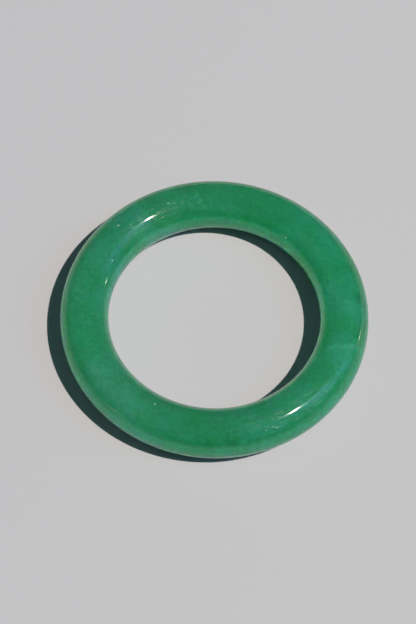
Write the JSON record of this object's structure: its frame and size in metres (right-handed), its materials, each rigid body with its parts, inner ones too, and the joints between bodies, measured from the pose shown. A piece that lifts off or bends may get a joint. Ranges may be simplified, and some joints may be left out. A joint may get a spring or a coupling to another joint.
{
  "type": "bangle bracelet",
  "caption": "Seamless bangle of polished green stone with a round section, which slips over the hand and rests flat when laid down.",
  "frame": {"origin": "middle of the ring, on the plane it rests on when laid flat", "axes": "+Z along the ring's axis, up from the resting plane; the ring is round, so +X and +Y are any two directions across it"},
  "size_m": [0.0846, 0.0846, 0.0133],
  "materials": {
    "green_stone": "polished, slightly translucent"
  },
  "bodies": {
    "root": {"bangle_ring": "green_stone"}
  },
  "joints": []
}
